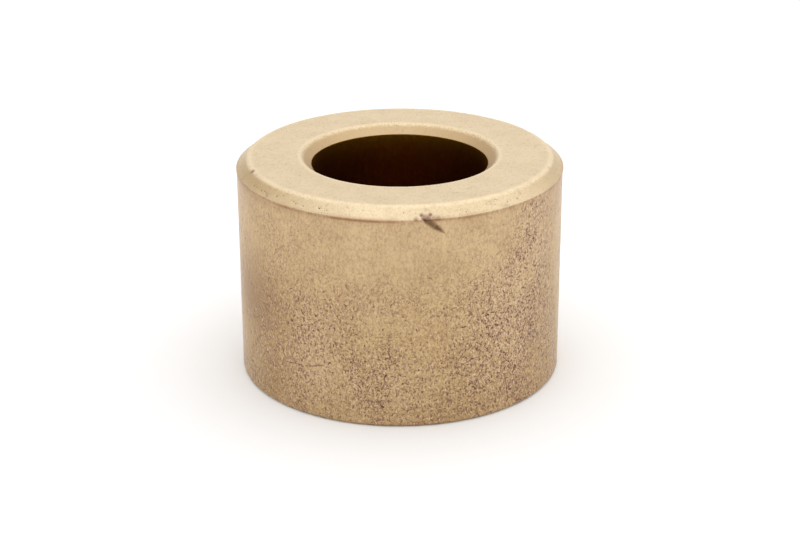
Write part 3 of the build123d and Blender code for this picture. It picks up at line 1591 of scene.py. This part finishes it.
@dataclass(frozen=True)
class BronzeFinish:
    """One finish of the sintered bronze. Sizes in millimetres, colours linear.

    Attributes:
        name: The material's name.
        clean: Colour of the clean metal.
        lit_and_pale: Colour of the pale patches, and the lighter colour painted towards the top of the
            wall as painted light.
        tarnished_and_shaded: Colour of the clouds of tarnish, the streaks and the stains, and of the
            painted shade and dark reflection that some stains stand for.
        marks: Colour of the short marks between the grains.
        hollow: Colour inside a pore: partly oily dirt, partly painted shade.
        rubbed_and_highlight: Colour of rubbed corners and grain crests, also used for painted
            highlights on the lead-in's front, along the top face's edges and on the crests.
        knock_dark: Colour that the gouge and the dents darken towards.
        mouth_and_bore_ends: Colour that the mouths darken towards, and in the bore the lighter colour
            painted at its ends as painted light.
        lip: Colour of the painted shadow under the lip.
        cloud_share: How strong the clouds are.
        mark_share: How strong the marks are.
        mottle_share: How strong the blurred marks are.
        crest_and_glint_share: How strong the lighter grain crests are: burnished tops, partly painted
            glints.
        streak_share: How strong the drawn streaks are.
        cloud_size: Size of the clouds.
        grain_size: Size of the grain.
        upright: How much longer the grain is along the sleeve.
        pinhole_share: Share of the cells that hold a fine pore.
        rough: Usual roughness.
        rough_swing: How far roughness swings with the grain.
        relief: Depth of the fine relief.
        grain_share: How strong the fine grain is in the colour.
        sheen: How strongly the oily dust pales the surface where it turns away.
        sheen_rough: How wide the pale band is.
        sheen_tint: Colour of the dust.
    """

    name: str
    clean: Colour
    lit_and_pale: Colour
    tarnished_and_shaded: Colour
    marks: Colour
    hollow: Colour
    rubbed_and_highlight: Colour
    knock_dark: Colour
    mouth_and_bore_ends: Colour
    lip: Colour
    cloud_share: float
    mark_share: float
    mottle_share: float
    crest_and_glint_share: float
    streak_share: float
    cloud_size: float
    grain_size: float
    upright: float
    pinhole_share: float
    rough: float
    rough_swing: float
    relief: float
    grain_share: float
    sheen: float = 0.0
    sheen_rough: float = 0.25
    sheen_tint: Colour = (0.95, 0.93, 1.0)

    def dress(self, effects: Effects) -> bpy.types.Material:
        """Builds the material.

        Args:
            effects: The shared effects.

        Returns:
            The finished material.
        """
        material = bpy.data.materials.new(self.name)
        material.use_nodes = True
        bench = Bench(material.node_tree)
        shader = material.node_tree.nodes["Principled BSDF"]
        place = bench.stretch(
            bench.node("ShaderNodeTexCoord").outputs["Object"], (1 / MM, 1 / MM, 1 / MM)
        )
        grain = bench.effect(effects.grain, Place=place, Size=self.grain_size, Upright=self.upright)
        worms = bench.effect(effects.worms, Place=place, Upright=self.upright)
        clouds = bench.effect(effects.clouds, Place=place, Size=self.cloud_size)
        streaks = bench.effect(effects.streaks, Place=place)
        holes = bench.effect(effects.pinholes, Place=place, Share=self.pinhole_share)
        pore = bench.ramp(bench.attribute("pore"), 0.12, 0.5)
        soil = bench.attribute("soil")
        rub = bench.math("MULTIPLY", bench.attribute("rub"), grain["Grain"])
        raw = bench.ramp(clouds["Cloud"], 0.0, 1.0, 0.8, 1.15)
        raw = bench.math("MULTIPLY", bench.attribute("raw"), raw)

        # Painted light: the wall grows lighter from the foot up, plus pale patches.
        colour = bench.blend(bench.attribute("tone"), (*self.clean, 1), (*self.lit_and_pale, 1))
        cloud = bench.math("MULTIPLY", clouds["Cloud"], self.cloud_share)
        # The stain patches: tarnish, plus painted shade and a painted dark reflection on the wall's
        # left and the lead-in's sides.
        cloud = bench.math("MAXIMUM", cloud, bench.attribute("stain"))
        colour = bench.blend(cloud, colour, (*self.tarnished_and_shaded, 1))
        streak_share = bench.math("MULTIPLY", streaks["Streaks"], self.streak_share)
        colour = bench.blend(streak_share, colour, (*self.tarnished_and_shaded, 1))
        fine = bench.math("MULTIPLY", bench.ramp(grain["Grain"], 0.56, 0.34), self.grain_share)
        colour = bench.blend(bench.math("MULTIPLY", fine, raw), colour, (*self.marks, 1))
        # Lighter grain crests: partly burnished tops, partly painted glints.
        crest_glints = bench.math("MULTIPLY", bench.ramp(grain["Grain"], 0.5, 0.68), self.crest_and_glint_share)
        colour = bench.blend(bench.math("MULTIPLY", crest_glints, raw), colour, (*self.rubbed_and_highlight, 1))
        blurred = bench.effect(
            effects.worms, Place=place, Pitch=0.31, Width=0.14, Upright=1.8, Cover=0.45
        )
        mottle = bench.math("MULTIPLY", blurred["Marks"], self.mottle_share)
        mottle = bench.math("MULTIPLY", mottle, bench.ramp(raw, 0.2, 0.65, 0.85, 1.0))
        colour = bench.blend(mottle, colour, (*self.marks, 1))
        marks = bench.math("MULTIPLY", worms["Marks"], self.mark_share)
        marks = bench.math("MULTIPLY", marks, raw)
        colour = bench.blend(marks, colour, (*self.marks, 1))
        # The mouths darken; the bore is painted lighter towards its ends, as painted light.
        colour = bench.blend(bench.attribute("oil"), colour, (*self.mouth_and_bore_ends, 1))
        # Rubbed corners, with painted highlight lines along the top face's edges and a painted
        # highlight on the front of the lead-in.
        colour = bench.blend(bench.ramp(rub, 0.2, 0.6, 0.0, 0.75), colour, (*self.rubbed_and_highlight, 1))
        # Painted shadow under the lip.
        colour = bench.blend(bench.attribute("lip_shade"), colour, (*self.lip, 1))
        colour = bench.blend(soil, colour, (*self.knock_dark, 1))
        # Pores and pinholes darken towards the hollow colour: partly oily dirt in them, partly painted
        # shade.
        dark = bench.math("MULTIPLY", holes["Mask"], bench.math("MULTIPLY", raw, 0.75))
        dark = bench.math("MAXIMUM", pore, dark)
        colour = bench.blend(dark, colour, (*self.hollow, 1))
        bench.feed(shader.inputs["Base Color"], colour)

        swing = bench.math("MULTIPLY", grain["Grain"], self.rough_swing)
        rough = bench.math("ADD", swing, self.rough - self.rough_swing / 2)
        rough = bench.math("ADD", rough, bench.math("MULTIPLY", dark, 0.25), True)
        bench.feed(shader.inputs["Roughness"], rough)

        height = bench.math("SUBTRACT", grain["Grain"], bench.math("MULTIPLY", worms["Marks"], 0.5))
        height = bench.math("MULTIPLY", height, raw)
        height = bench.math("ADD", height, bench.math("MULTIPLY", streaks["Streaks"], 0.15))
        height = bench.math("SUBTRACT", height, bench.math("MULTIPLY", holes["Mask"], 1.2))
        bump = bench.node("ShaderNodeBump")
        bump.inputs["Strength"].default_value = 1.0
        bump.inputs["Distance"].default_value = self.relief * MM
        bench.feed(bump.inputs["Height"], height)
        bench.feed(shader.inputs["Normal"], bump.outputs[0])
        shader.inputs["Metallic"].default_value = 1.0
        shader.inputs["Sheen Weight"].default_value = self.sheen
        shader.inputs["Sheen Roughness"].default_value = self.sheen_rough
        shader.inputs["Sheen Tint"].default_value = (*self.sheen_tint, 1)
        return material


FINISHES = {
    Skin.DIE_WALL: BronzeFinish(
        name="bronze_die_wall",
        clean=(0.56, 0.395, 0.19),
        lit_and_pale=(0.66, 0.485, 0.28),
        tarnished_and_shaded=(0.38, 0.24, 0.115),
        marks=(0.20, 0.100, 0.080),
        hollow=(0.14, 0.060, 0.060),
        rubbed_and_highlight=(0.86, 0.65, 0.51),
        knock_dark=(0.155, 0.088, 0.042),
        mouth_and_bore_ends=(0.2, 0.1, 0.04),
        lip=(0.275, 0.128, 0.062),
        cloud_share=0.25,
        mark_share=0.7,
        mottle_share=0.2,
        crest_and_glint_share=0.5,
        streak_share=0.15,
        cloud_size=3.2,
        grain_size=0.14,
        upright=1.35,
        pinhole_share=0.35,
        rough=0.5,
        rough_swing=0.16,
        relief=0.02,
        grain_share=0.34,
        sheen=0.3,
    ),
    Skin.PUNCH_FACE: BronzeFinish(
        name="bronze_punch_face",
        clean=(0.70, 0.57, 0.376),
        lit_and_pale=(0.714, 0.583, 0.386),
        tarnished_and_shaded=(0.50, 0.355, 0.18),
        marks=(0.42, 0.30, 0.19),
        hollow=(0.19, 0.12, 0.07),
        rubbed_and_highlight=(0.80, 0.66, 0.45),
        knock_dark=(0.23, 0.13, 0.095),
        mouth_and_bore_ends=(0.465, 0.32, 0.165),
        lip=(0.38, 0.22, 0.12),
        cloud_share=0.15,
        mark_share=0.27,
        mottle_share=0.1,
        crest_and_glint_share=0.1,
        streak_share=0.0,
        cloud_size=2.4,
        grain_size=0.17,
        upright=1.0,
        pinhole_share=0.22,
        rough=0.46,
        rough_swing=0.12,
        relief=0.01,
        grain_share=0.12,
    ),
    # The bore's colours are far darker than the bronze's own: partly oily dirt, partly painted shade
    # for the dark inside of the bore.
    Skin.CORE_BORE: BronzeFinish(
        name="bronze_core_bore",
        clean=(0.26, 0.074, 0.010),
        lit_and_pale=(0.26, 0.074, 0.010),
        tarnished_and_shaded=(0.2, 0.05, 0.008),
        marks=(0.12, 0.03, 0.005),
        hollow=(0.02, 0.006, 0.002),
        rubbed_and_highlight=(0.34, 0.13, 0.03),
        knock_dark=(0.12, 0.03, 0.01),
        mouth_and_bore_ends=(0.38, 0.2, 0.012),
        lip=(0.28, 0.085, 0.014),
        cloud_share=0.5,
        mark_share=0.25,
        mottle_share=0.1,
        crest_and_glint_share=0.1,
        streak_share=0.35,
        cloud_size=3.0,
        grain_size=0.2,
        upright=2.5,
        pinhole_share=0.2,
        rough=0.34,
        rough_swing=0.1,
        relief=0.008,
        grain_share=0.2,
    ),
}


@dataclass
class Studio:
    """A pale floor, one big soft tent of light and the camera.

    Attributes:
        floor_half: Half the floor's side, in metres.
        floor_gap: How far the floor lies under the sleeve, in millimetres.
        floor_grey: The floor's paleness.
        low_light: The tent's strength low down.
        overhead_light: How much stronger it is overhead.
        side_light: How much stronger it is towards +X.
        backdrop: The tent's strength as the camera sees it.
        lens: Focal length, in millimetres.
        elevation: How far the camera looks down, in degrees.
        distance: From the camera to what it looks at, in metres.
        roll: The camera's tilt, in degrees.
        aim_aside: How far it looks past the sleeve's middle, in millimetres.
        aim_share: How far up the sleeve it looks, as a share of the length.
    """

    floor_half: float = 1.4
    floor_gap: float = 0.02
    floor_grey: float = 0.9
    low_light: float = 1.02
    overhead_light: float = 0.42
    side_light: float = 0.12
    backdrop: float = 1.08
    lens: float = 84.93
    elevation: float = 22.06
    distance: float = 0.16486
    roll: float = -0.2
    aim_aside: float = -0.007
    aim_share: float = 0.4528

    def _tent(self) -> None:
        """Lights the scene from a soft tent, brightest overhead and a little towards +X."""
        world = bpy.data.worlds.new("light_tent")
        world.use_nodes = True
        bench = Bench(world.node_tree)
        heading = bench.node("ShaderNodeSeparateXYZ")
        bench.feed(heading.inputs[0], bench.node("ShaderNodeTexCoord").outputs["Generated"])
        high_light = self.low_light + self.overhead_light
        glow = bench.ramp(heading.outputs[2], 0.15, 1.0, self.low_light, high_light)
        glow = bench.math("ADD", glow, bench.math("MULTIPLY", heading.outputs[0], self.side_light))
        seen = bench.node("ShaderNodeLightPath").outputs["Is Camera Ray"]
        strength = bench.node("ShaderNodeMix", data_type="FLOAT")
        bench.feed(strength.inputs[0], seen)
        bench.feed(strength.inputs[2], glow)
        bench.feed(strength.inputs[3], self.backdrop)
        background = world.node_tree.nodes["Background"]
        background.inputs[0].default_value = (1, 1, 1, 1)
        bench.feed(background.inputs[1], strength.outputs[0])
        bpy.context.scene.world = world

    def _floor(self) -> None:
        """Lays the pale floor just under the sleeve."""
        low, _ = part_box(NODE)
        half, level = self.floor_half, low.z - self.floor_gap * MM
        mesh = bpy.data.meshes.new("studio_floor")
        corners = [(x * half, y * half, level) for x, y in ((-1, -1), (1, -1), (1, 1), (-1, 1))]
        mesh.from_pydata(corners, [], [(0, 1, 2, 3)])
        floor = bpy.data.objects.new("studio_floor", mesh)
        bpy.context.scene.collection.objects.link(floor)
        material = bpy.data.materials.new("pale_paper")
        material.use_nodes = True
        shader = material.node_tree.nodes["Principled BSDF"]
        shader.inputs["Base Color"].default_value = (*[self.floor_grey] * 3, 1)
        shader.inputs["Roughness"].default_value = 0.9
        shader.inputs["Specular IOR Level"].default_value = 0.1
        mesh.materials.append(material)

    def _camera(self) -> None:
        """Sets the camera a little above the sleeve, in front of it."""
        low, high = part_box(NODE)
        lift = math.radians(self.elevation)
        aim = Vector((self.aim_aside * MM, 0, low.z + self.aim_share * (high.z - low.z)))
        back = Vector((0, -math.cos(lift), math.sin(lift)))
        side = Vector((1, 0, 0))
        up = side.cross(-back)
        turn = math.radians(self.roll)
        right = side * math.cos(turn) + up * math.sin(turn)
        top = up * math.cos(turn) - side * math.sin(turn)
        data = bpy.data.cameras.new("camera")
        data.sensor_width = 36.0
        data.lens = self.lens
        data.clip_start, data.clip_end = 0.01, 10.0
        camera = bpy.data.objects.new("camera", data)
        camera.matrix_world = Matrix.Translation(aim + back * self.distance) @ (
            Matrix((right, top, back)).transposed().to_4x4()
        )
        bpy.context.scene.collection.objects.link(camera)
        bpy.context.scene.camera = camera

    def build(self) -> None:
        """Sets up light, floor and camera."""
        scene = bpy.context.scene
        scene.view_settings.view_transform = "Standard"
        self._tent()
        self._floor()
        self._camera()


def main() -> None:
    """Builds the sleeve and the studio, and reports each piece."""
    logging.basicConfig(level=logging.INFO, format="%(name)s: %(message)s")
    effects = Effects()
    section = Section()
    tarnish_and_light = TarnishAndPaintedLight(section)
    piece = Sleeve(section, tarnish_and_light, OpenPores(section, tarnish_and_light), Relief(section)).build()
    for skin in Skin:
        piece.data.materials.append(FINISHES[skin].dress(effects))
    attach(piece, "root")
    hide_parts(NODE)
    LOG.info("%s stands for %s, with %d finishes", piece.name, NODE, len(piece.data.materials))
    Studio().build()
    LOG.info("studio set")


if __name__ == "__main__":
    main()
